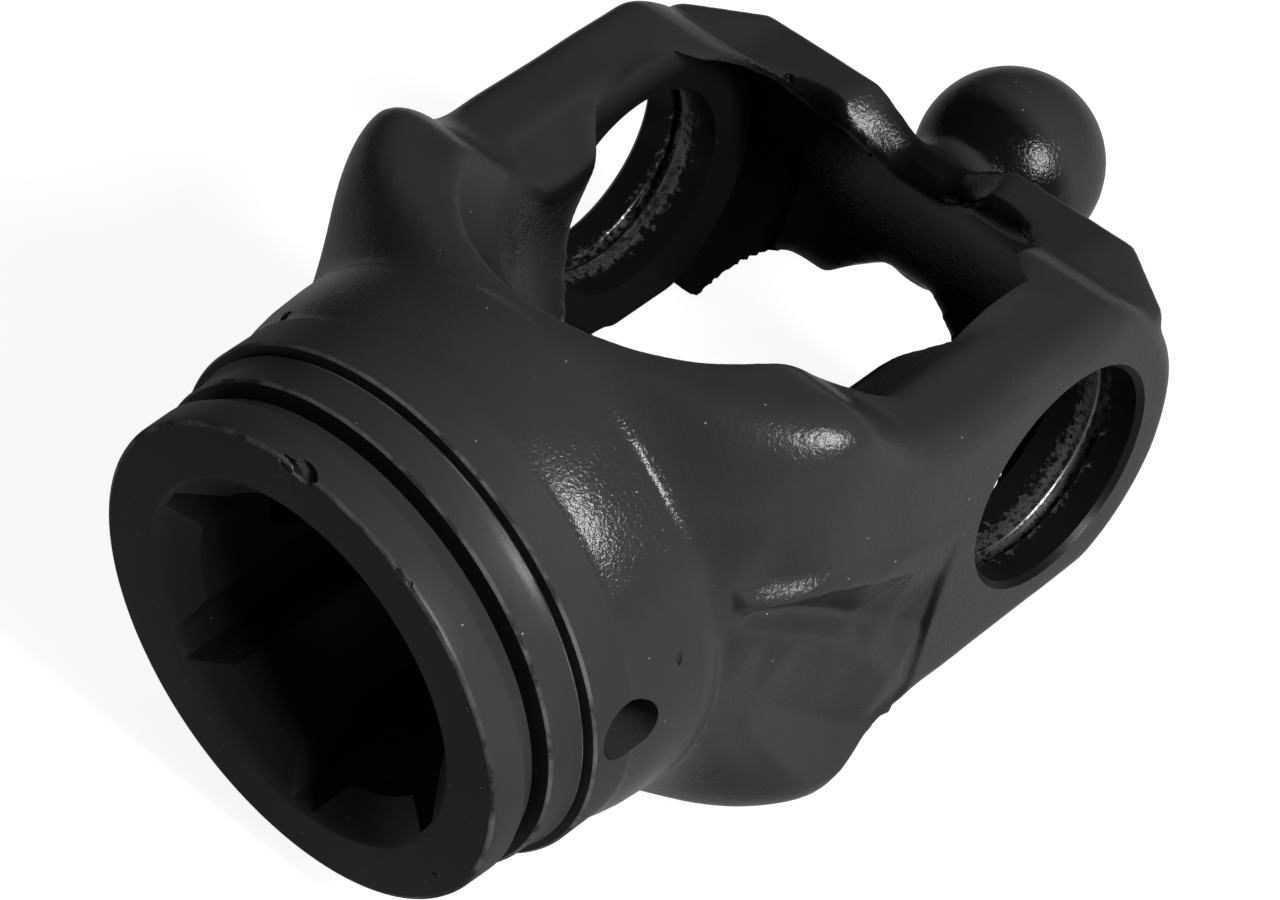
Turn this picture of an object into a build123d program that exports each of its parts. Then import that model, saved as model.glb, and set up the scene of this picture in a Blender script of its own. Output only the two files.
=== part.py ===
from build123d import *
from math import cos, radians, sin
import os

os.makedirs("parts", exist_ok=True)

# Millimetres. Origin at the centre of the hub's front face, Y along the hub to the ball, X along the cross bores.

# Cross bores and ears
BORE_R = 16.0
BORE_Y = 93.3
EAR_OUT = 44.3
EAR_IN = 30.9
EAR_HALF_Z = 22.4
EAR_END_R = 24.2
EAR_EDGE = 3.6
EAR_CORNER = 4.0
EAR_START = 73.0
SPOT_FACE_R = 22.8
RING_GROOVE_X = 38.2
RING_GROOVE_R = 17.1
RING_GROOVE_W = 1.7
BORE_CHAMFER = 0.8

# The dies met a little below the bores' height
DROP = 0.5

# Hub, turned about Y
FLANGE_R = 34.2
FLANGE_END = 5.2
SLOT_START = 8.0
SLOT_END = 9.05
SLOT_FLOOR_R = 29.5
COLLAR_R = 34.7
GROOVE_START = 14.3
GROOVE_END = 14.85
BODY_R = 36.55
BODY_END = 21.4
HUB_END_R = 37.9
HUB_END = 37.5

# Toothed socket and its cross pin, both turned a little from the bores' plane
TOOTH_COUNT = 6
TURN = 2.2
ROOT_R = 25.6
LAND_R = 21.6
ROOT_HALF_DEG = 4.2
MOUTH_HALF_DEG = 13.0
ENTRY_R = 26.0
ENTRY_DEPTH = 6.0
PIN_HOLE_R = 4.4
PIN_HOLE_Y = 20.7

# Shoulder sections along the hub axis: y, half width, half height, corner radius
SHOULDER = [
    (30.0, 34.6, 34.6, 34.4),
    (36.5, 36.7, 36.9, 30.0),
    (40.5, 37.4, 36.4, 20.0),
    (45.0, 39.4, 35.5, 12.0),
    (50.0, 41.6, 34.9, 8.5),
    (54.5, 42.7, 34.2, 7.0),
    (58.5, 43.2, 31.2, 7.0),
    (63.0, 43.8, 26.3, 6.0),
    (67.5, 44.15, 23.3, 4.6),
    (70.5, 44.25, 22.55, 4.0),
    (EAR_START, EAR_OUT, EAR_HALF_Z, EAR_EDGE),
]

# Window between the arms
WINDOW_HALF = 21.2
WINDOW_Y = 72.0
WINDOW_END = 109.8
WINDOW_DRAFT = 12.0
WINDOW_CORNER = 5.0
# Slopes from the arms' tops down into the window: y, low edge z, high edge z, high edge x
SLOPES = [(55.0, 31.5, 33.5, 23.5), (70.0, 14.8, 22.8, 34.0), (90.0, 14.8, 22.8, 34.0)]
SLOPE_LOW_X = 22.0

# Side recess and pad at each arm root: floor line (x, y) near and far, outline (y, z), wall slope
RECESS_FLOOR = [(37.6, 38.0), (42.7, 67.0)]
RECESS_OUTLINE = [(41.0, 8.6), (66.0, 1.5), (64.5, -17.0)]
PAD_FLOOR = [(38.0, 40.0), (43.1, 62.5)]
PAD_OUTLINE = [(38.5, 3.5), (48.0, -1.5), (57.0, -9.5), (63.5, -19.5), (60.5, -22.5), (48.5, -14.0), (38.5, -3.5)]
WALL_SLOPE = 45.0

# Bridge across the ear ends
BRIDGE_TOP = 15.9
BRIDGE_BOTTOM = 15.0
BRIDGE_END = 120.5
BRIDGE_EDGE = 1.6
BRIDGE_CORNERS = [(EAR_OUT - 0.7, 109.2), (42.7, 113.4), (32.2, BRIDGE_END)]
# Valleys behind the ball, one above and one below: y, floor z
VALLEY_FLOOR = [(124.0, 11.6), (117.0, 9.8), (105.0, -1.0)]
VALLEY_HALF_FLOOR = 4.0
VALLEY_HALF_TOP = 12.5

# Ball
BALL_R = 13.35
BALL_Y = 135.15
NECK_R = 9.2


def across(x0, x1, face):
    """A face drawn with Y across and Z up, run along X from x0 to x1."""
    return extrude(Plane(origin=(x0, 0, 0), x_dir=(0, 1, 0), z_dir=(1, 0, 0)) * face, amount=x1 - x0)


def section(y, half_x, half_z, corner):
    """A rounded rectangle square to the hub axis."""
    plane = Plane(origin=(0, y, 0), x_dir=(1, 0, 0), z_dir=(0, 1, 0))
    return plane * RectangleRounded(2 * half_x, 2 * half_z, corner)


def slope_section(y, low_z, high_z, high_x):
    """What a slope section takes off: everything above the line from its low edge to its high edge."""
    plane = Plane(origin=(0, y, 0), x_dir=(1, 0, 0), z_dir=(0, -1, 0))
    low_x = SLOPE_LOW_X - 2
    return plane * make_face(Polyline((low_x, low_z), (low_x, 45), (high_x, 45), (high_x, high_z), close=True))


def shallow_cut(floor, outline):
    """A cut from the side, with its flat floor through two (x, y) points and walls that slope outwards."""
    start, end = Vector(*floor[0]), Vector(*floor[1])
    run = end - start
    plane = Plane(origin=start, x_dir=run, z_dir=(run.Y, -run.X, 0))
    rise = run.length / run.Y
    face = make_face(Polyline(*[((y - start.Y) * rise, z) for y, z in outline], close=True))
    return extrude(plane * face, amount=8, taper=-WALL_SLOPE)


def valley_section(y, floor_z):
    """A trough that is level at the floor and runs up to the bridge's top."""
    side = VALLEY_HALF_TOP + 3.0
    plane = Plane(origin=(0, y, 0), x_dir=(1, 0, 0), z_dir=(0, -1, 0))
    low = Polyline((-side, BRIDGE_TOP + 2), (-VALLEY_HALF_FLOOR, floor_z), (VALLEY_HALF_FLOOR, floor_z), (side, BRIDGE_TOP + 2))
    return plane * make_face(low + Line((side, BRIDGE_TOP + 2), (-side, BRIDGE_TOP + 2)))


def both_sides(solid):
    return solid + mirror(solid, Plane.YZ)


def both_faces(solid):
    return solid + mirror(solid, Plane.XY)


# Forged shoulder: the round hub swells into a block with four rounded horns, then sinks to the arms
shoulder = loft([section(*row) for row in SHOULDER])

# Ears: thick plates that end in a half circle about the bore
corner_y = BORE_Y + (EAR_END_R**2 - EAR_HALF_Z**2) ** 0.5
ear_face = make_face(
    Polyline((corner_y, EAR_HALF_Z), (EAR_START, EAR_HALF_Z), (EAR_START, -EAR_HALF_Z), (corner_y, -EAR_HALF_Z))
    + ThreePointArc((corner_y, -EAR_HALF_Z), (BORE_Y + EAR_END_R, 0), (corner_y, EAR_HALF_Z))
)
ear_face = fillet(ear_face.vertices().sort_by(Axis.X)[-2:], EAR_CORNER)
ear = across(15, EAR_OUT, ear_face)
ear = fillet(ear.faces().sort_by(Axis.X)[-1].edges().sort_by(Axis.Y)[1:], EAR_EDGE)
fork = shoulder + both_sides(ear)

# Bridge: a bar that ties the ear ends, with a valley top and bottom behind the ball
right_side = [(15, 100), (EAR_OUT - 0.7, 100), *BRIDGE_CORNERS]
outline = Polyline(*right_side, *[(-x, y) for x, y in reversed(right_side)], close=True)
bridge = extrude(make_face(outline), amount=BRIDGE_TOP + BRIDGE_BOTTOM)
bridge = Pos(0, 0, DROP - BRIDGE_BOTTOM) * bridge
rims = bridge.faces().sort_by(Axis.Z)[-1].edges() + bridge.faces().sort_by(Axis.Z)[0].edges()
bridge = fillet(rims.filter_by(lambda edge: edge.center().Y > 105), BRIDGE_EDGE)
valley = loft([valley_section(*row) for row in VALLEY_FLOOR], ruled=True)
bridge -= Pos(0, 0, DROP) * both_faces(valley)
fork += bridge

# Window: drafted both ways from the parting plane
window_face = make_face(
    ThreePointArc((-WINDOW_HALF, WINDOW_Y), (0, WINDOW_Y - WINDOW_HALF), (WINDOW_HALF, WINDOW_Y))
    + Polyline((WINDOW_HALF, WINDOW_Y), (WINDOW_HALF, WINDOW_END), (-WINDOW_HALF, WINDOW_END), (-WINDOW_HALF, WINDOW_Y))
)
window_face = fillet(window_face.vertices().sort_by(Axis.Y)[-2:], WINDOW_CORNER)
window = both_faces(extrude(window_face, amount=45, taper=-WINDOW_DRAFT))
crest = Pos(0, 0, 24.5) * extrude(Pos(0, WINDOW_Y) * Circle(25.9), amount=20, taper=-31)
keep = Pos(0, 57, 35) * Box(70, 46, 40)
crest_cut = both_faces(crest & keep)
fork -= window
fork -= crest_cut
slopes = loft([slope_section(*row) for row in SLOPES], ruled=True)
fork -= both_sides(both_faces(slopes))

# Side recess and pad: shallow cuts with sloped walls, each floor rising towards the ear
fork -= both_sides(shallow_cut(RECESS_FLOOR, RECESS_OUTLINE))
fork -= both_sides(shallow_cut(PAD_FLOOR, PAD_OUTLINE))
fork = Pos(0, 0, -DROP) * fork

# Hub: flange, deep guard slot, stepped collar, fine groove and flaring body
hub_outline = Polyline(
    (0, 0),
    (FLANGE_R - 0.9, 0),
    (FLANGE_R - 0.15, 0.5),
    (FLANGE_R, FLANGE_END),
    (FLANGE_R - 1.5, SLOT_START),
    (SLOT_FLOOR_R, SLOT_START),
    (SLOT_FLOOR_R, SLOT_END),
    (COLLAR_R, SLOT_END),
    (COLLAR_R, 12.8),
    (COLLAR_R + 0.6, GROOVE_START),
    (COLLAR_R - 0.3, GROOVE_START + 0.2),
    (COLLAR_R - 0.3, GROOVE_END),
    (BODY_R - 0.25, GROOVE_END),
    (BODY_R, GROOVE_END + 0.35),
    (BODY_R, BODY_END),
)
hub_flare = Spline(
    (BODY_R, BODY_END), (37.1, 23.8), (37.7, 28.5), (HUB_END_R, 32.5), (HUB_END_R - 0.4, 35.0),
    (HUB_END_R - 2.2, HUB_END),
    tangents=[(0.1, 1), (-1, 1)],
)
hub_back = Polyline((HUB_END_R - 2.2, HUB_END), (0, HUB_END), (0, 0))
fork += revolve(make_face(hub_outline + hub_flare + hub_back), Axis.Y)

# Ball on a short neck
neck_line = Spline((NECK_R + 1.4, 116), (NECK_R + 0.5, 121), (NECK_R, 123.6), (NECK_R + 0.6, 126.5))
neck_back = Polyline((NECK_R + 0.6, 126.5), (0, 126.5), (0, 116), (NECK_R + 1.4, 116))
fork += revolve(make_face(neck_line + neck_back), Axis.Y)
fork += Pos(0, BALL_Y, 0) * Sphere(BALL_R)

# Machined faces and bores of the ears, with the snap ring grooves
fork -= across(-EAR_IN, EAR_IN, Pos(BORE_Y, 0) * Circle(SPOT_FACE_R))
fork -= across(-60, 60, Pos(BORE_Y, 0) * Circle(BORE_R))
half_groove = RING_GROOVE_W / 2
groove = across(RING_GROOVE_X - half_groove, RING_GROOVE_X + half_groove, Pos(BORE_Y, 0) * Circle(RING_GROOVE_R))
mouth_plane = Plane(origin=(EAR_OUT - BORE_CHAMFER, BORE_Y, 0), x_dir=(0, 1, 0), z_dir=(1, 0, 0))
mouth = extrude(mouth_plane * Circle(BORE_R), amount=3, taper=-45)
fork -= both_sides(groove + mouth)

# Toothed socket through the hub, with a conical entry
corners = []
for tooth in range(TOOTH_COUNT):
    middle = 30 + TURN + 360 / TOOTH_COUNT * tooth
    for radius, turn in (
        (LAND_R, -MOUTH_HALF_DEG),
        (ROOT_R, -ROOT_HALF_DEG),
        (ROOT_R, ROOT_HALF_DEG),
        (LAND_R, MOUTH_HALF_DEG),
    ):
        angle = radians(middle + turn)
        corners.append(Vector(radius * cos(angle), radius * sin(angle)))
lines = []
for start, end in zip(corners, corners[1:] + corners[:1]):
    if abs(start.length - end.length) > 0.5:
        lines.append(Line(start, end))
    else:
        lines.append(ThreePointArc(start, (start + end).normalized() * start.length, end))
fork -= extrude(Plane.XZ * make_face(lines), amount=-60)
entry_line = Polyline((0, 0), (ENTRY_R, 0), (ENTRY_R - ENTRY_DEPTH, ENTRY_DEPTH), (0, ENTRY_DEPTH), close=True)
fork -= revolve(make_face(entry_line), Axis.Y)

# Cross pin hole through both walls of the hub
fork -= Rot(0, -TURN, 0) * across(-50, 50, Pos(PIN_HOLE_Y, 0) * Circle(PIN_HOLE_R))

export_step(fork, "parts/yoke_forging.step")
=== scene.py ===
import math

import bpy
from mathutils import Matrix, Vector, noise


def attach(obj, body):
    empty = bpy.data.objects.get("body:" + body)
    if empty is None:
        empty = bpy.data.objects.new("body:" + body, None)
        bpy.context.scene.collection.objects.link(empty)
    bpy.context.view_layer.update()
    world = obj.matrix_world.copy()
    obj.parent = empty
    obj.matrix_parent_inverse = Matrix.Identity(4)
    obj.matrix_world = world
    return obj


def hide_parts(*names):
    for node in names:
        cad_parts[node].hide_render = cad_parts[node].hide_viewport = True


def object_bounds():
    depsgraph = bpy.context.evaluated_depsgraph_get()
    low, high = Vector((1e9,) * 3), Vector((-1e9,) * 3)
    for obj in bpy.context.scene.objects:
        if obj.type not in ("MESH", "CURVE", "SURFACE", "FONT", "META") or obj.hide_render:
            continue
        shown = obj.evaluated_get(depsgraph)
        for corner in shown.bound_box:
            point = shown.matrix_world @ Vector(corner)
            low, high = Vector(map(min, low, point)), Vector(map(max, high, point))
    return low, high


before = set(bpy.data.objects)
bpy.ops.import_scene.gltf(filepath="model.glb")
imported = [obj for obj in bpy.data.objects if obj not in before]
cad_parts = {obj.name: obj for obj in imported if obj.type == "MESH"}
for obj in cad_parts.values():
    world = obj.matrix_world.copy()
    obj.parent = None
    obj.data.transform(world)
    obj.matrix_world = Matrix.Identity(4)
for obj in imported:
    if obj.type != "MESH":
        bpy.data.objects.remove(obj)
cad_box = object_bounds()

# The forging, one piece of steel: a round hub that swells into four rounded horns and runs
# on as two arms to a bridge and a ball. It is hammered in closed dies, trimmed and
# shot-blasted, so every edge that no tool has cut is soft. Sizes are in millimetres.
MM = 0.001
SKIN = 0.85
HUB_BLANK_R = 37.95
HUB_BLANK_END = 32.5
SOCKET_BLANK_R = 27
SOCKET_BLANK_START = 10
SOCKET_BLANK_END = 44
EAR_IN = 30.9
EAR_OUT = 44.3
EAR_BLANK_R = 17.8
EAR_BLANK_OVERLAP = 0.6
FACE_BLANK_R = 22.4
FACE_BLANK_IN = 25.4
FACE_BLANK_OUT = 31.8
BORE_Y = 93.3
# The arms' inner slopes, from their low edge to their high edge, as (x, z)
SLOPE_LOW = (22.0, 14.8)
SLOPE_HIGH = (34.0, 22.8)
SLOPE_CLEARANCE = 0.1
ARM_DROP = 0.5


def deselect_all():
    bpy.ops.object.select_all(action="DESELECT")


def make_active(piece):
    deselect_all()
    piece.select_set(True)
    bpy.context.view_layer.objects.active = piece


def modify(piece, kind, **settings):
    """Adds one modifier and applies it."""
    make_active(piece)
    modifier = piece.modifiers.new(kind.lower(), kind)
    for name, value in settings.items():
        setattr(modifier, name, value)
    bpy.ops.object.modifier_apply(modifier=modifier.name)


def bar(name, radius, start, end, axis, sides=128):
    """A round bar along X or Y between two places on that axis."""
    deselect_all()
    middle = [0, 0, 0]
    middle["XY".index(axis)] = (start + end) / 2 * MM
    turn = (0, math.pi / 2, 0) if axis == "X" else (math.pi / 2, 0, 0)
    size = {"radius": radius * MM, "depth": abs(end - start) * MM}
    bpy.ops.mesh.primitive_cylinder_add(vertices=sides, location=middle, rotation=turn, **size)
    piece = bpy.context.object
    piece.name = name
    bpy.ops.object.transform_apply(location=True, rotation=True, scale=True)
    return piece


def shift(piece, x=0.0, y=0.0, z=0.0):
    piece.data.transform(Matrix.Translation((x * MM, y * MM, z * MM)))


def saw_off(piece, place, outward):
    """Cuts a piece by a plane through a place, and drops what lies outward of it."""
    make_active(piece)
    bpy.ops.object.mode_set(mode="EDIT")
    bpy.ops.mesh.select_all(action="SELECT")
    centre = [number * MM for number in place]
    bpy.ops.mesh.bisect(plane_co=centre, plane_no=outward, use_fill=True, clear_outer=True)
    bpy.ops.object.mode_set(mode="OBJECT")


make_active(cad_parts["yoke_forging"])
bpy.ops.object.duplicate()
forging = bpy.context.object
forging.name = "forging"
bpy.ops.object.mode_set(mode="EDIT")
bpy.ops.mesh.select_all(action="SELECT")
bpy.ops.mesh.remove_doubles(threshold=0.01 * MM)
bpy.ops.mesh.normals_make_consistent(inside=False)
bpy.ops.object.mode_set(mode="OBJECT")

# The stock that the lathe, the broach and the boring bars take off again
blanks = [bar("hub_blank", HUB_BLANK_R, 0, HUB_BLANK_END, "Y")]
blanks.append(bar("socket_blank", SOCKET_BLANK_R, SOCKET_BLANK_START, SOCKET_BLANK_END, "Y"))
for side in (-1, 1):
    ear_blank = bar("ear_blank", EAR_BLANK_R, side * (EAR_IN - EAR_BLANK_OVERLAP), side * EAR_OUT, "X")
    shift(ear_blank, y=BORE_Y)
    blanks.append(ear_blank)
    face_blank = bar("face_blank", FACE_BLANK_R, side * FACE_BLANK_IN, side * FACE_BLANK_OUT, "X")
    shift(face_blank, y=BORE_Y)
    for up in (-1, 1):
        slope_foot = (side * SLOPE_LOW[0], 0, up * (SLOPE_LOW[1] - SLOPE_CLEARANCE) - ARM_DROP)
        slope_out = (side * (SLOPE_LOW[1] - SLOPE_HIGH[1]), 0, up * (SLOPE_HIGH[0] - SLOPE_LOW[0]))
        saw_off(face_blank, slope_foot, slope_out)
    blanks.append(face_blank)

# Plugs that close the ends of the socket's four side grooves. They are sawn off flush with
# the window's curved end.
SOCKET_TURN = 2.2
ROOT_R = 25.6
PLUG_R = 4.4
PLUG_START = 44
PLUG_END = 68
WINDOW_END_X = 21.0
WINDOW_END_Y = 60.4
WINDOW_END_Z = 12.5
for groove in (0, 2, 3, 5):
    angle = math.radians(30 + SOCKET_TURN + 60 * groove)
    plug_x = ROOT_R * math.cos(angle)
    plug_z = ROOT_R * math.sin(angle)
    plug = bar("plug", PLUG_R, PLUG_START, PLUG_END, "Y", 32)
    shift(plug, x=plug_x, z=plug_z)
    window_end = (math.copysign(WINDOW_END_X, plug_x), WINDOW_END_Y, math.copysign(WINDOW_END_Z, plug_z))
    outward = (math.copysign(0.86, -plug_x), 0.46, math.copysign(0.21, plug_z))
    saw_off(plug, window_end, outward)
    blanks.append(plug)
make_active(forging)
for blank in blanks:
    blank.select_set(True)
bpy.ops.object.join()
modify(forging, "REMESH", mode="VOXEL", voxel_size=SKIN * MM, adaptivity=0.0)

# The scoop and pad beside each arm root, as lines of (y, z, x) corners: the lip above the
# scoop, the scoop's upper edge, its bottom, the ridge between it and the pad, the pad's
# foot, and the horn that swells out again below it.
LIP = [
    (38.2, 12.8, 37.5), (41.6, 12.8, 38.1), (46.7, 12.6, 39.9), (51.8, 11.6, 42.0),
    (58.0, 9.6, 43.3), (66.0, 7.0, 44.2), (73.0, 4.0, 44.3),
]
UPPER = [
    (38.4, 11.2, 38.0), (42.0, 10.2, 40.3), (46.5, 9.9, 42.2), (51.4, 9.0, 43.4),
    (57.0, 6.4, 43.9), (65.0, 2.6, 43.8), (71.0, -2.0, 43.7),
]
BOTTOM = [
    (38.6, 9.0, 37.3), (42.4, 6.8, 36.6), (47.6, 3.8, 37.0), (52.5, 0.8, 38.2),
    (58.0, -3.0, 39.9), (64.0, -7.0, 41.6), (68.8, -10.5, 43.3),
]
RIDGE = [
    (38.2, 6.4, 37.5), (42.2, 4.4, 39.0), (47.6, 1.4, 40.9), (52.4, -2.4, 42.1),
    (57.0, -6.9, 43.0), (63.0, -14.5, 44.0), (66.3, -19.5, 43.5),
]
PAD_FOOT = [
    (37.2, -4.0, 36.9), (42.5, -9.5, 37.4), (48.0, -14.5, 38.0), (52.0, -18.2, 38.8),
    (55.5, -21.0, 39.6), (61.0, -24.0, 41.4), (65.0, -24.5, 43.0),
]
HORN = [
    (38.0, -12.0, 37.4), (42.0, -17.0, 38.6), (46.0, -21.0, 40.0), (49.5, -24.5, 41.0),
    (52.5, -27.5, 41.9), (60.0, -28.5, 43.0), (64.5, -27.0, 43.6),
]
ARM_SIDE = 35
SCOOP_FOOT = -29


def flats(*edges):
    """The triangles between neighbouring lines of corners."""
    for low, high in zip(edges, edges[1:]):
        for a, b, c, d in zip(low, low[1:], high, high[1:]):
            yield a, b, c
            yield b, d, c


def beside_arm(place, start, end, top):
    """Whether a place lies on an arm's outer side, from start to end and no higher than top."""
    x, y, z = place
    return abs(x) > ARM_SIDE and start < y < end and SCOOP_FOOT < z < top


make_active(forging)
for face in forging.data.polygons:
    face.select = beside_arm(face.center / MM, 35, 76, 15)
bpy.ops.object.mode_set(mode="EDIT")
bpy.ops.mesh.select_mode(type="FACE")
bpy.ops.mesh.subdivide(number_cuts=1)
bpy.ops.object.mode_set(mode="OBJECT")
scoop = list(flats(LIP, UPPER, BOTTOM, RIDGE, PAD_FOOT))
horn = list(flats(PAD_FOOT, HORN))
for vertex in forging.data.vertices:
    x, y, z = vertex.co / MM
    if beside_arm((x, y, z), 35.5, 75, 14):
        for a, b, c in scoop + horn:
            area = (b[0] - a[0]) * (c[1] - a[1]) - (c[0] - a[0]) * (b[1] - a[1])
            share_b = ((y - a[0]) * (c[1] - a[1]) - (c[0] - a[0]) * (z - a[1])) / area
            share_c = ((b[0] - a[0]) * (z - a[1]) - (y - a[0]) * (b[1] - a[1])) / area
            if min(share_b, share_c, 1 - share_b - share_c) >= 0:
                depth = a[2] + share_b * (b[2] - a[2]) + share_c * (c[2] - a[2])
                if (a, b, c) in horn:
                    depth = min(depth, abs(x))
                vertex.co.x = math.copysign(depth, x) * MM

# Softness of the die's edges: full on the shoulder, arms and bridge, little on the ball, and
# none on the hub, which tools cut.
HUB_END = 33.0
BALL_START = 124
soft = forging.vertex_groups.new(name="soft")
for vertex in forging.data.vertices:
    y = (vertex.co / MM).y
    amount = min(1.0, max(0.0, (y - HUB_END) / 6.0))
    if y > BALL_START:
        amount = 0.25
    soft.add([vertex.index], amount, "REPLACE")
modify(forging, "SMOOTH", factor=0.5, iterations=5, vertex_group="soft")

# The scoop is dressed smoother than the rest, but its lip and the step up to the ear keep
# their edges.
scooped = forging.vertex_groups.new(name="scooped")
for vertex in forging.data.vertices:
    x, y, z = vertex.co / MM
    if beside_arm((x, y, z), 36.5, 75, 14):
        lip = min(10.2, 33.2 - 0.5 * y) - 1.5
        step = 68 + 0.25 * z
        crisp = z > lip or y > step
        scooped.add([vertex.index], 0.06 if crisp else 1.0, "REPLACE")
modify(forging, "SMOOTH", factor=0.5, iterations=12, vertex_group="scooped")

# Waviness that hammering and blasting leave, a long wave and a short one, as (length, height).
# The ears' outer faces and the hub's widest places stay within the real size.
LONG_WAVE = (9.0, 0.07)
SHORT_WAVE = (3.2, 0.03)
WIDEST_Z = 37.9
places = [vertex.co.copy() for vertex in forging.data.vertices]
normals = [vertex.normal.copy() for vertex in forging.data.vertices]
for index, (place, normal) in enumerate(zip(places, normals)):
    place = place / MM
    amount = min(1.0, max(0.0, (place.y - 36.0) / 5.0)) * (0.3 if place.y > BALL_START else 1.0)
    wave = noise.noise(place / LONG_WAVE[0]) * LONG_WAVE[1]
    wave += noise.noise(place / SHORT_WAVE[0] + Vector((7, 3, 1))) * SHORT_WAVE[1]
    place = place + normal * wave * amount
    place.x = max(-EAR_OUT, min(EAR_OUT, place.x))
    place.z = max(-WIDEST_Z, min(WIDEST_Z, place.z))
    places[index] = place * MM
forging.data.vertices.foreach_set("co", [number for place in places for number in place])
forging.data.update()

# The hub is turned on a lathe: flange, deep slot for the guard's bearing, stepped collar
# with a fine groove, and a body that flares to the shoulder. Front face cut square.
FLANGE_R = 34.2
GUARD_SLOT_R = 29.5
GUARD_SLOT_START = 8.0
GUARD_SLOT_END = 9.05
COLLAR_R = 34.7
HUB_R = 36.55
TURNED_END = 21.4
TOOL_R = 45
HUB_PROFILE = [
    (0, -4), (0, 0), (FLANGE_R - 0.9, 0), (FLANGE_R - 0.25, 0.35), (FLANGE_R - 0.1, 0.8),
    (FLANGE_R, 4.85), (FLANGE_R - 0.25, 5.35), (32.8, 7.8), (32.3, GUARD_SLOT_START),
    (GUARD_SLOT_R, GUARD_SLOT_START), (GUARD_SLOT_R, GUARD_SLOT_END), (34.3, GUARD_SLOT_END),
    (COLLAR_R, 9.4), (COLLAR_R, 12.8), (35.2, 14.1), (35.05, 14.3), (34.4, 14.5), (34.4, 14.85),
    (36.2, 14.85), (HUB_R, 15.25), (HUB_R, TURNED_END), (36.75, 22.5), (37.1, 23.8), (37.5, 26.0),
    (37.7, 28.5), (37.85, 30.5), (37.9, 32.4), (38.05, 33.4), (TOOL_R, 34.0), (TOOL_R, -4),
]


def machine_away(cutter):
    """Takes a cutter's shape off the forging, then throws the cutter away."""
    modify(forging, "BOOLEAN", operation="DIFFERENCE", object=cutter, solver="MANIFOLD")
    bpy.data.objects.remove(cutter)


def spun(name, outline, axis, steps=256):
    """A closed ring or plug from an outline of (radius, place along the axis)."""
    deselect_all()
    mesh = bpy.data.meshes.new(name)
    if axis == "Y":
        points = [Vector((radius, place, 0)) * MM for radius, place in outline]
    else:
        points = [Vector((place, 0, radius)) * MM for radius, place in outline]
    loop = list(range(len(points)))
    mesh.from_pydata(points, list(zip(loop, loop[1:])), [])
    piece = bpy.data.objects.new(name, mesh)
    bpy.context.scene.collection.objects.link(piece)
    make_active(piece)
    bpy.ops.object.mode_set(mode="EDIT")
    bpy.ops.mesh.select_all(action="SELECT")
    spin_axis = (0, 1, 0) if axis == "Y" else (1, 0, 0)
    bpy.ops.mesh.spin(steps=steps, angle=2 * math.pi, center=(0, 0, 0), axis=spin_axis)
    bpy.ops.mesh.select_all(action="SELECT")
    bpy.ops.mesh.remove_doubles(threshold=0.000004)
    bpy.ops.mesh.select_all(action="SELECT")
    bpy.ops.mesh.normals_make_consistent(inside=False)
    bpy.ops.object.mode_set(mode="OBJECT")
    return piece


machine_away(spun("lathe_tool", [*HUB_PROFILE, (0, -4)], "Y"))

# Socket: broached right through, six grooves for the teeth of a shaft, with a cone at the
# mouth that leads the shaft in. A groove is given as (radius, degrees from its middle).
LAND_R = 21.6
LAND_ARC = 34
LAND_STEPS = 8
ROOT_ROUND = 0.35
BROACH_START = -3
BROACH_STROKE = 48
GROOVE = [
    (LAND_R, -13.0), (ROOT_R - ROOT_ROUND, -5.1), (ROOT_R, -4.2), (ROOT_R, 0), (ROOT_R, 4.2),
    (ROOT_R - ROOT_ROUND, 5.1), (LAND_R, 13.0),
]
CONE = [(0, -1), (26.9, -1), (26.3, 0), (25.8, 0.3), (20.0, 6.0), (0, 6.0)]
corners = []
for groove in range(6):
    middle = 30 + SOCKET_TURN + 60 * groove
    for step in range(LAND_STEPS):
        corners.append((LAND_R, middle - 30 - LAND_ARC / 2 + LAND_ARC / LAND_STEPS * (step + 0.5)))
    corners += [(radius, middle + turn) for radius, turn in GROOVE]
rim = []
for radius, turn in corners:
    angle = math.radians(turn)
    rim.append((radius * math.cos(angle) * MM, BROACH_START * MM, radius * math.sin(angle) * MM))
deselect_all()
mesh = bpy.data.meshes.new("broach")
mesh.from_pydata(rim, [], [range(len(rim))])
broach = bpy.data.objects.new("broach", mesh)
bpy.context.scene.collection.objects.link(broach)
make_active(broach)
bpy.ops.object.mode_set(mode="EDIT")
bpy.ops.mesh.select_all(action="SELECT")
bpy.ops.mesh.extrude_region_move(TRANSFORM_OT_translate={"value": (0, BROACH_STROKE * MM, 0)})
bpy.ops.mesh.select_all(action="SELECT")
bpy.ops.mesh.normals_make_consistent(inside=False)
bpy.ops.object.mode_set(mode="OBJECT")
machine_away(broach)
machine_away(spun("countersink", CONE, "Y", 192))

# Cross pin hole, drilled through both walls of the hub, behind the collar. It is turned
# with the socket, so that the pin passes between two of the shaft's teeth.
PIN_HOLE_R = 4.4
PIN_HOLE_Y = 20.7
drill = bar("drill", PIN_HOLE_R, -50, 50, "X", 64)
drill.data.transform(Matrix.Rotation(math.radians(-SOCKET_TURN), 4, "Y"))
shift(drill, y=PIN_HOLE_Y)
machine_away(drill)

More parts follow.
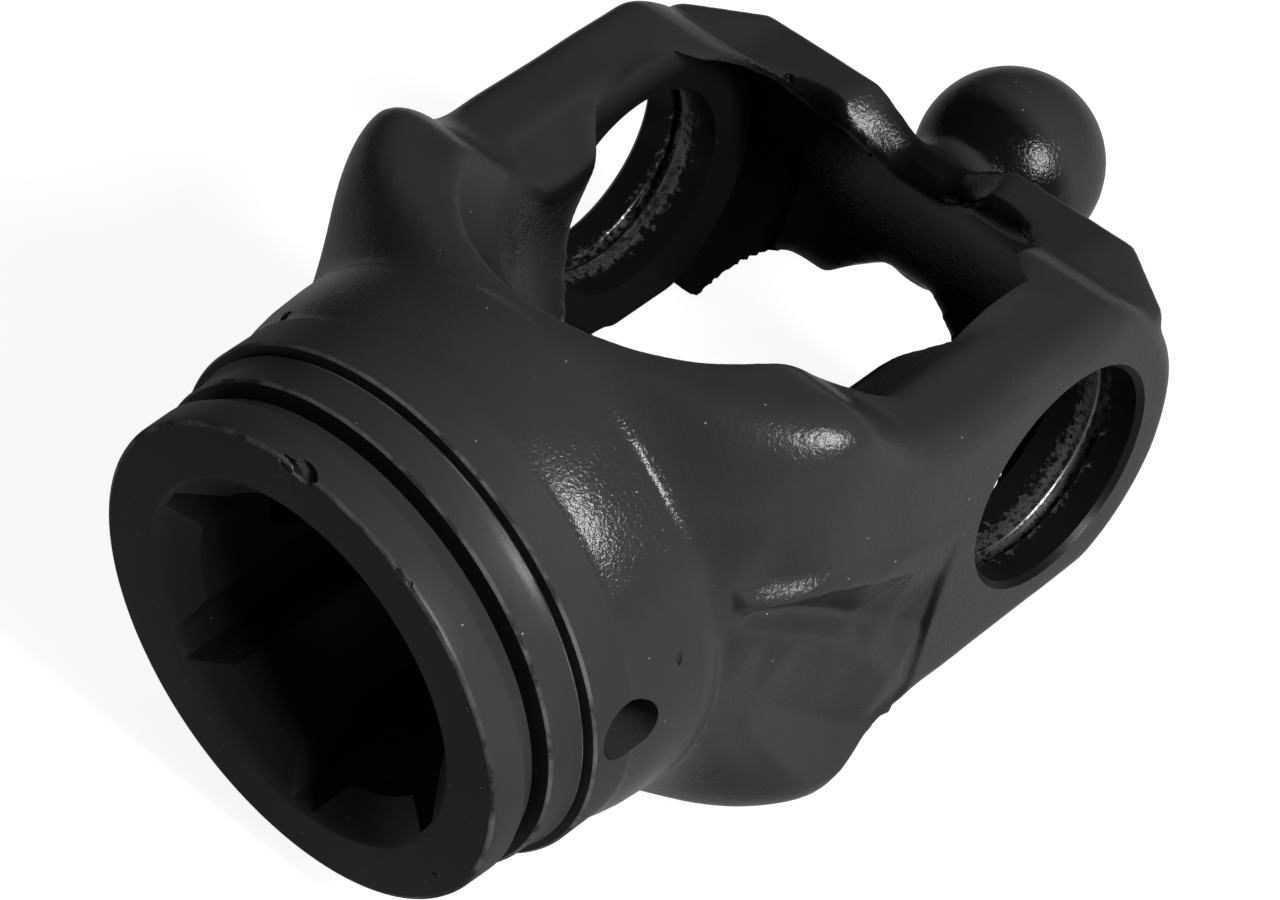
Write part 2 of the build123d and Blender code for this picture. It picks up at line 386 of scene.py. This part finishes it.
# Ears: spot-faced inside, bored for the bearing cups, with a snap ring groove near the
# outer end of each bore and a broken edge at its mouth.
FACER_R = 22.6
BORE_R = 16
RING_R = 17.1
RING_START = 37.35
RING_END = 39.05
EDGE_BREAK = 0.2
BORE_OUTLINE = [
    (0, 15), (BORE_R, 15), (BORE_R, RING_START - EDGE_BREAK), (BORE_R + EDGE_BREAK, RING_START),
    (RING_R, RING_START), (RING_R, RING_END), (BORE_R + EDGE_BREAK, RING_END),
    (BORE_R, RING_END + EDGE_BREAK), (BORE_R, 43.5), (16.8, EAR_OUT), (17.4, 45.2), (0, 45.2),
]
GRINDER_R = 23.2
GRINDER_IN = 20.5
GRINDER_DROP = 1.5
GROUND_FROM = 86
facer = bar("facer", FACER_R, -EAR_IN, EAR_IN, "X", 192)
shift(facer, y=BORE_Y)
machine_away(facer)
for side in (-1, 1):
    boring_bar = spun("boring_bar", [(radius, side * place) for radius, place in BORE_OUTLINE], "X", 160)
    shift(boring_bar, y=BORE_Y)
    machine_away(boring_bar)
    # The rim under each arm is ground thin by a wheel set low
    grinder = bar("grinder", GRINDER_R, side * GRINDER_IN, side * EAR_IN, "X", 160)
    shift(grinder, y=BORE_Y, z=-GRINDER_DROP)
    saw_off(grinder, (0, GROUND_FROM, 0), (0, -1, 0))
    machine_away(grinder)

# Nicks, chips and pits: knocks on the flange's edge, a dent by the pin hole, and scale pits
# in the forged skin, each as its place and its size along x, y and z.
KNOCKS = [
    ((0.9, 0.1, 34.0), (3.2, 1.3, 1.7)),
    ((-1.9, -0.3, 33.0), (1.2, 0.9, 1.1)),
    ((17.6, -0.1, 29.6), (1.5, 0.8, 1.0)),
    ((19.0, 0.1, 28.6), (0.7, 0.5, 0.9)),
    ((13.2, -0.25, 31.2), (0.5, 0.4, 0.4)),
    ((7.5, -0.3, 27.8), (0.7, 0.4, 0.25)),
    ((34.0, 0.8, -4.6), (0.5, 0.7, 0.6)),
    ((24.8, -0.15, -18.5), (0.6, 0.35, 0.4)),
    ((28.3, -0.1, -19.6), (0.35, 0.3, 0.35)),
    ((37.3, 28.3, 9.3), (0.75, 1.5, 2.3)),
    ((-25.6, 22.2, 27.2), (1.3, 1.2, 1.2)),
    ((-26.9, 20.6, 25.4), (0.5, 0.6, 0.5)),
    ((-13.5, 37.3, 36.3), (0.6, 0.5, 0.5)),
    ((-2.2, 38.9, 36.4), (0.5, 0.6, 0.4)),
    ((-21.2, 111.9, 15.6), (0.8, 0.7, 0.7)),
    ((-8.0, 114.5, 9.0), (0.45, 0.5, 0.5)),
    ((36.1, 21.0, 9.9), (0.4, 0.5, 0.5)),
]
COARSE_DENT = 0.45
FINE_DENT = 0.2
knocks = []
for number, (place, size) in enumerate(KNOCKS):
    deselect_all()
    bpy.ops.mesh.primitive_ico_sphere_add(subdivisions=3, radius=1)
    knock = bpy.context.object
    for vertex in knock.data.vertices:
        swell = 1 + COARSE_DENT * noise.noise(vertex.co * 1.7 + Vector((number * 5.0, 0, 0)))
        swell += FINE_DENT * noise.noise(vertex.co * 5 + Vector((0, number * 3.0, 0)))
        vertex.co = Vector([a + b * c * swell for a, b, c in zip(place, size, vertex.co)]) * MM
    knocks.append(knock)
make_active(knocks[0])
for knock in knocks:
    knock.select_set(True)
bpy.ops.object.join()
machine_away(knocks[0])

# Slivers that the cuts leave are merged away, and the shading keeps the cut edges sharp
SLIVER = 0.000009
make_active(forging)
bpy.ops.object.mode_set(mode="EDIT")
bpy.ops.mesh.select_all(action="SELECT")
bpy.ops.mesh.remove_doubles(threshold=SLIVER)
bpy.ops.mesh.dissolve_degenerate(threshold=SLIVER)
bpy.ops.mesh.select_all(action="SELECT")
bpy.ops.mesh.delete_loose()
bpy.ops.object.mode_set(mode="OBJECT")
bpy.ops.object.shade_smooth_by_angle(angle=math.radians(30))
modify(forging, "WEIGHTED_NORMAL", mode="FACE_AREA", weight=90, keep_sharp=True)

# Paint skin, one group that every finish shares: the ripple that shows in highlights,
# scattered pits and dust, and a slow unevenness of gloss and tint.
WIDE_RIPPLE = 0.3
PIT_DEPTH = 4.0


def socket(group, name, way, kind="NodeSocketFloat", value=None):
    made = group.interface.new_socket(name=name, in_out=way, socket_type=kind)
    if value is not None:
        made.default_value = value


def node(tree, kind, **settings):
    made = tree.nodes.new(kind)
    for name, value in settings.items():
        if name in made.inputs:
            made.inputs[name].default_value = value
        else:
            setattr(made, name, value)
    return made


def maths(tree, operation, first, second=0):
    """A maths node on two values or sockets."""
    made = node(tree, "ShaderNodeMath", operation=operation)
    for place, value in enumerate((first, second)):
        if isinstance(value, (int, float)):
            made.inputs[place].default_value = value
        else:
            tree.links.new(value, made.inputs[place])
    return made.outputs[0]


def parted(tree, vector):
    """The X, Y and Z of a vector, each as a socket."""
    made = tree.nodes.new("ShaderNodeSeparateXYZ")
    tree.links.new(vector, made.inputs[0])
    return made.outputs


def ramp(tree, value, low, high, start=0.0, end=1.0):
    """Goes from start to end while the value goes from low to high."""
    made = node(tree, "ShaderNodeMapRange")
    made.inputs["From Min"].default_value = low
    made.inputs["From Max"].default_value = high
    made.inputs["To Min"].default_value = start
    made.inputs["To Max"].default_value = end
    tree.links.new(value, made.inputs["Value"])
    return made.outputs["Result"]


def specks(tree, cells, size, channel, rareness):
    """Round specks in the middle of some cells of a pattern, fewer as the rareness nears one."""
    colour = tree.nodes.new("ShaderNodeSeparateColor")
    tree.links.new(cells.outputs["Color"], colour.inputs["Color"])
    near = maths(tree, "LESS_THAN", cells.outputs["Distance"], size)
    chosen = maths(tree, "GREATER_THAN", colour.outputs[channel], rareness)
    return maths(tree, "MULTIPLY", near, chosen)


skin = bpy.data.node_groups.new("paint_skin", "ShaderNodeTree")
socket(skin, "Place", "INPUT", "NodeSocketVector")
socket(skin, "Ripple", "INPUT", value=1.0)
socket(skin, "Pits", "INPUT", value=1.0)
socket(skin, "Height", "OUTPUT")
socket(skin, "Unevenness", "OUTPUT")
socket(skin, "Dust", "OUTPUT")
skin_in = skin.nodes.new("NodeGroupInput")
skin_out = skin.nodes.new("NodeGroupOutput")
fine = node(skin, "ShaderNodeTexNoise", Scale=1900.0, Detail=2.5, Roughness=0.55, Distortion=0.4)
wide = node(skin, "ShaderNodeTexNoise", Scale=420.0, Detail=2.0)
slow = node(skin, "ShaderNodeTexNoise", Scale=55.0, Detail=4.0)
pits = node(skin, "ShaderNodeTexVoronoi", Scale=330.0)
dust = node(skin, "ShaderNodeTexVoronoi", Scale=610.0)
for texture in (fine, wide, slow, pits, dust):
    skin.links.new(skin_in.outputs["Place"], texture.inputs["Vector"])
pit = specks(skin, pits, 0.10, "Red", 0.72)
grain = specks(skin, dust, 0.075, "Green", 0.93)
wide_ripple = maths(skin, "MULTIPLY", wide.outputs["Fac"], WIDE_RIPPLE)
both_ripples = maths(skin, "ADD", fine.outputs["Fac"], wide_ripple)
ripple = maths(skin, "MULTIPLY", both_ripples, skin_in.outputs["Ripple"])
pit_depth = maths(skin, "MULTIPLY", pit, maths(skin, "MULTIPLY", skin_in.outputs["Pits"], PIT_DEPTH))
skin.links.new(maths(skin, "SUBTRACT", ripple, pit_depth), skin_out.inputs["Height"])
skin.links.new(slow.outputs["Fac"], skin_out.inputs["Unevenness"])
skin.links.new(maths(skin, "MULTIPLY", grain, skin_in.outputs["Pits"]), skin_out.inputs["Dust"])


def paint(name, colour, worn_colour, roughness, specular, ripple, bump):
    """A painted finish, with nodes named place, skin, worn and relief that wear can join."""
    material = bpy.data.materials.new(name)
    material.use_nodes = True
    tree = material.node_tree
    shader = tree.nodes["Principled BSDF"]
    shader.inputs["Specular IOR Level"].default_value = specular
    place = node(tree, "ShaderNodeTexCoord", name="place")
    group = node(tree, "ShaderNodeGroup", name="skin", node_tree=skin)
    group.inputs["Ripple"].default_value = ripple
    tree.links.new(place.outputs["Object"], group.inputs["Place"])
    uneven = ramp(tree, group.outputs["Unevenness"], 0.3, 0.7, roughness - 0.06, roughness + 0.08)
    tree.links.new(uneven, shader.inputs["Roughness"])
    tint = node(tree, "ShaderNodeMix", data_type="RGBA")
    tint.inputs[6].default_value = (*[c * 0.82 for c in colour], 1)
    tint.inputs[7].default_value = (*[c * 1.2 for c in colour], 1)
    tree.links.new(group.outputs["Unevenness"], tint.inputs[0])
    worn = node(tree, "ShaderNodeMix", name="worn", data_type="RGBA")
    worn.inputs[7].default_value = (*worn_colour, 1)
    tree.links.new(tint.outputs[2], worn.inputs[6])
    tree.links.new(group.outputs["Dust"], worn.inputs[0])
    tree.links.new(worn.outputs[2], shader.inputs["Base Color"])
    relief = node(tree, "ShaderNodeBump", name="relief", Strength=1.0, Distance=bump)
    tree.links.new(group.outputs["Height"], relief.inputs["Height"])
    tree.links.new(relief.outputs["Normal"], shader.inputs["Normal"])
    return material


BLACK = (0.021, 0.021, 0.022)
PALE_DUST = (0.2, 0.2, 0.2)
forged_paint = paint(
    "black_paint", BLACK, PALE_DUST, roughness=0.19, specular=0.18, ripple=1.0, bump=0.00008
)

# Painted shade in the window: the paint's colour is darkened low down, on the walls that face the
# window's middle and on the bottom between the arms, where shade falls.
window = bpy.data.node_groups.new("window_painted_shade", "ShaderNodeTree")
socket(window, "Place", "INPUT", "NodeSocketVector")
socket(window, "Facing", "INPUT", "NodeSocketVector")
socket(window, "Colour", "INPUT", "NodeSocketColor")
socket(window, "Shaded", "OUTPUT", "NodeSocketColor")
window_in = window.nodes.new("NodeGroupInput")
window_out = window.nodes.new("NodeGroupOutput")
facing = node(window, "ShaderNodeVectorMath", operation="MULTIPLY")
window.links.new(window_in.outputs["Place"], facing.inputs[0])
window.links.new(window_in.outputs["Facing"], facing.inputs[1])
inward = parted(window, facing.outputs[0])
level = parted(window, window_in.outputs["Place"])
faces_across = ramp(window, inward["X"], -11 * MM, -18 * MM)
faces_hub = ramp(window, inward["Y"], -15 * MM, -45 * MM)
wall = maths(window, "MAXIMUM", faces_across, faces_hub)
low_wall = maths(window, "MULTIPLY", wall, ramp(window, level["Z"], 24 * MM, 17 * MM))
past_hub = ramp(window, level["Y"], 43 * MM, 50 * MM)
before_bridge = ramp(window, level["Y"], 124 * MM, 119 * MM)
along_window = maths(window, "MULTIPLY", past_hub, before_bridge)
between_ears = ramp(window, maths(window, "ABSOLUTE", level["X"]), 31 * MM, 27 * MM)
in_window = maths(window, "MULTIPLY", between_ears, along_window)
low_window = maths(window, "MULTIPLY", in_window, ramp(window, level["Z"], 18 * MM, 11 * MM))
# Painted shade: the colour is multiplied down to 0.12 where the masks are full
painted_shade = node(window, "ShaderNodeMix", data_type="RGBA", blend_type="MULTIPLY")
painted_shade.inputs[7].default_value = (0.12, 0.12, 0.12, 1)
window.links.new(maths(window, "MAXIMUM", low_wall, low_window), painted_shade.inputs[0])
window.links.new(window_in.outputs["Colour"], painted_shade.inputs[6])
window.links.new(painted_shade.outputs[2], window_out.inputs["Shaded"])


def paint_window_shade(material):
    """Joins the window's painted shade to a finish."""
    tree = material.node_tree
    shade = node(tree, "ShaderNodeGroup", node_tree=window)
    surface = tree.nodes.new("ShaderNodeNewGeometry")
    tree.links.new(tree.nodes["place"].outputs["Object"], shade.inputs["Place"])
    tree.links.new(surface.outputs["Normal"], shade.inputs["Facing"])
    tree.links.new(tree.nodes["worn"].outputs[2], shade.inputs["Colour"])
    tree.links.new(shade.outputs["Shaded"], tree.nodes["Principled BSDF"].inputs["Base Color"])


# The forged paint and the spot-faced paint both take this painted shade in the window
paint_window_shade(forged_paint)
spot_faced_paint = paint(
    "black_paint_spot_faced", BLACK, PALE_DUST, roughness=0.5, specular=0.05, ripple=0.3, bump=0.00004
)
paint_window_shade(spot_faced_paint)

# Turned faces carry the same paint, thinner and duller, and it is rubbed off to the steel in
# patches along the hub's edges, which are given as (start, end) from the front face.
STEEL = (0.2, 0.2, 0.21)
WEAR_SPAN = 20
WORN_EDGES = ((0.06, 0.34), (9.12, 9.4), (14.08, 14.28), (14.93, 15.22))
RUBBED_SHARE = (0.40, 0.68)
WORN_OUTSIDE = 31
turned_paint = paint(
    "black_paint_turned", BLACK, STEEL, roughness=0.4, specular=0.09, ripple=0.35, bump=0.00005
)
tree = turned_paint.node_tree
place = tree.nodes["place"].outputs["Object"]
along = maths(tree, "MULTIPLY", parted(tree, place)["Y"], 1 / (WEAR_SPAN * MM))
edges = node(tree, "ShaderNodeValToRGB")
tree.links.new(along, edges.inputs["Fac"])
for end in (0, 1):
    edges.color_ramp.elements[end].color = (0, 0, 0, 1)
    edges.color_ramp.elements[end].position = end
for low, high in WORN_EDGES:
    for position, bright in ((low - 0.03, 0), (low, 1), (high, 1), (high + 0.06, 0)):
        stop = edges.color_ramp.elements.new(max(0.0, position / WEAR_SPAN))
        stop.color = (bright, bright, bright, 1)
rub = node(tree, "ShaderNodeTexNoise", Scale=160.0, Detail=5.0, Roughness=0.65)
tree.links.new(place, rub.inputs["Vector"])
rubbed = ramp(tree, rub.outputs["Fac"], *RUBBED_SHARE)
flat_place = node(tree, "ShaderNodeVectorMath", operation="MULTIPLY")
flat_place.inputs[1].default_value = (1, 0, 1)
tree.links.new(place, flat_place.inputs[0])
from_axis = node(tree, "ShaderNodeVectorMath", operation="LENGTH")
tree.links.new(flat_place.outputs[0], from_axis.inputs[0])
outside = maths(tree, "GREATER_THAN", from_axis.outputs["Value"], WORN_OUTSIDE * MM)
bare = maths(tree, "MULTIPLY", maths(tree, "MULTIPLY", edges.outputs["Color"], outside), rubbed)
dusty = tree.nodes["skin"].outputs["Dust"]
tree.links.new(maths(tree, "MAXIMUM", bare, dusty), tree.nodes["worn"].inputs[0])
shine = maths(tree, "MULTIPLY", bare, 0.8)
tree.links.new(shine, tree.nodes["Principled BSDF"].inputs["Metallic"])

# Bored steel: bare bright bands round the ring groove, with black paint sprayed in from both
# mouths in droplets, and the fine lines that the boring bar leaves.
SPRAYED_BLACK = (0.004, 0.004, 0.004)
BRIGHT_STEEL = (0.3, 0.3, 0.31)
BARE_MIDDLE = 37.0
BARE_REACH = 6.0
COVER_SHARE = (0.66, 0.82)
bored_steel = paint(
    "bored_steel", SPRAYED_BLACK, BRIGHT_STEEL, roughness=0.33, specular=0.12, ripple=0.5, bump=0.00005
)
tree = bored_steel.node_tree
place = tree.nodes["place"].outputs["Object"]
depth = maths(tree, "ABSOLUTE", parted(tree, place)["X"])
from_middle = maths(tree, "ABSOLUTE", maths(tree, "SUBTRACT", depth, BARE_MIDDLE * MM))
reach = maths(tree, "SUBTRACT", 1, maths(tree, "DIVIDE", from_middle, BARE_REACH * MM))
spray = node(tree, "ShaderNodeTexNoise", Scale=900.0, Detail=4.0, Roughness=0.7)
tree.links.new(place, spray.inputs["Vector"])
lines = node(tree, "ShaderNodeMapping")
lines.inputs["Scale"].default_value = (1.0, 0.03, 0.03)
tree.links.new(place, lines.inputs["Vector"])
turning = node(tree, "ShaderNodeTexNoise", Scale=1600.0, Detail=3.0)
tree.links.new(lines.outputs["Vector"], turning.inputs["Vector"])
droplets = maths(tree, "MULTIPLY", spray.outputs["Fac"], 0.75)
unpainted = maths(tree, "ADD", maths(tree, "MULTIPLY", reach, 0.45), droplets)
cover = ramp(tree, unpainted, *COVER_SHARE)
streaks = maths(tree, "MULTIPLY", cover, turning.outputs["Fac"])
tree.links.new(streaks, tree.nodes["worn"].inputs[0])
tree.links.new(cover, tree.nodes["Principled BSDF"].inputs["Metallic"])
tool_lines = maths(tree, "MULTIPLY", turning.outputs["Fac"], 0.35)
bored_height = maths(tree, "ADD", tool_lines, maths(tree, "MULTIPLY", cover, -0.25))
tree.links.new(bored_height, tree.nodes["relief"].inputs["Height"])

# Finishes go on by place: bare steel in the bores, dull paint on the spot-faced insides of
# the ears, thin paint on the turned hub and in the socket, and the forged paint elsewhere.
BORED_R = 17.3
SPOT_FACED_R = 28
SOCKET_MOUTH_R = 26.5
SOCKET_DEPTH = 45.5
forging.data.materials.clear()
for finish in (forged_paint, turned_paint, bored_steel, spot_faced_paint):
    forging.data.materials.append(finish)
for face in forging.data.polygons:
    x, y, z = face.center / MM
    from_bore = math.hypot(y - BORE_Y, z)
    ear_end = abs(x) >= 43 and abs(face.normal.x) >= 0.9
    if from_bore < BORED_R and abs(x) > EAR_IN + 0.05 and not ear_end:
        face.material_index = 2
    elif from_bore < SPOT_FACED_R and abs(abs(x) - EAR_IN) < 0.02:
        face.material_index = 3
    elif y < TURNED_END or math.hypot(x, z) < SOCKET_MOUTH_R and y < SOCKET_DEPTH:
        face.material_index = 1
    else:
        face.material_index = 0

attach(forging, "root")
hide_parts("yoke_forging")

# Studio floor and backdrop, plain and white. It glows evenly to the camera, and only dimly
# in what the paint mirrors.
FLOOR_GLOW = 0.91
MIRRORED_GLOW = 0.14
deselect_all()
bpy.ops.mesh.primitive_plane_add(size=6, location=(0, 0, cad_box[0][2] - 0.2 * MM))
floor = bpy.context.object
floor.name = "floor"
bpy.ops.object.transform_apply(location=True, rotation=True, scale=True)
white = bpy.data.materials.new("white_floor")
white.use_nodes = True
tree = white.node_tree
floor_shader = tree.nodes["Principled BSDF"]
floor_shader.inputs["Base Color"].default_value = (0.16, 0.16, 0.16, 1)
floor_shader.inputs["Roughness"].default_value = 0.9
floor_shader.inputs["Emission Color"].default_value = (1, 1, 1, 1)
floor.data.materials.append(white)
rays = tree.nodes.new("ShaderNodeLightPath").outputs
mirrored = maths(tree, "MAXIMUM", rays["Is Glossy Ray"], rays["Is Transmission Ray"])
dim_glow = maths(tree, "MULTIPLY", mirrored, MIRRORED_GLOW)
glow = maths(tree, "ADD", maths(tree, "MULTIPLY", rays["Is Camera Ray"], FLOOR_GLOW), dim_glow)
tree.links.new(glow, floor_shader.inputs["Emission Strength"])

# Lights: a key softbox high on the right with a larger one for its sheen, a lower one beside
# it, a weak one overhead, and a dim sky.
AIM = Vector((0, 0.07, 0))
world = bpy.data.worlds.new("studio")
bpy.context.scene.world = world
world.use_nodes = True
world.node_tree.nodes["Background"].inputs["Color"].default_value = (1, 1, 1, 1)
world.node_tree.nodes["Background"].inputs["Strength"].default_value = 0.06


def softbox(name, direction, distance, size, power, glossy=True, diffuse=True):
    lamp = bpy.data.lights.new(name, "AREA")
    lamp.shape = "RECTANGLE"
    lamp.size, lamp.size_y = size
    lamp.energy = power
    box = bpy.data.objects.new(name, lamp)
    bpy.context.scene.collection.objects.link(box)
    direction = Vector(direction).normalized()
    box.location = AIM + direction * distance
    box.rotation_euler = direction.to_track_quat("Z", "Y").to_euler()
    box.visible_glossy = glossy
    box.visible_diffuse = diffuse


softbox("key_light", (0.76, -0.02, 0.62), 1.3, (0.18, 0.34), 23, glossy=False)
softbox("key_sheen", (0.76, -0.02, 0.62), 1.3, (0.25, 0.44), 40, diffuse=False)
softbox("side_light", (0.86, -0.08, 0.42), 1.5, (0.5, 0.3), 15.5, glossy=False)
softbox("top_light", (-0.1, 0.15, 1.0), 1.5, (0.6, 0.6), 2, glossy=False)

# Camera at the photograph's place, as fitted to the hub's, the bores' and the ball's circles.
# It looks down at the yoke from its front right.
CAMERA_PLACE = (0.2969, -0.2875, 0.4456)
camera = bpy.data.objects.new("camera", bpy.data.cameras.new("camera"))
bpy.context.scene.collection.objects.link(camera)
camera.data.sensor_width = 36.0
camera.data.lens = 139.47
right = Vector((0.72621, 0.68543, 0.05298)).normalized()
back = Vector((0.46165, -0.54332, 0.70120)).normalized()
up = back.cross(right).normalized()
facing_camera = Matrix((right, up, back)).transposed().to_4x4()
camera.matrix_world = Matrix.Translation(CAMERA_PLACE) @ facing_camera
bpy.context.scene.camera = camera
bpy.context.scene.view_settings.view_transform = "Standard"
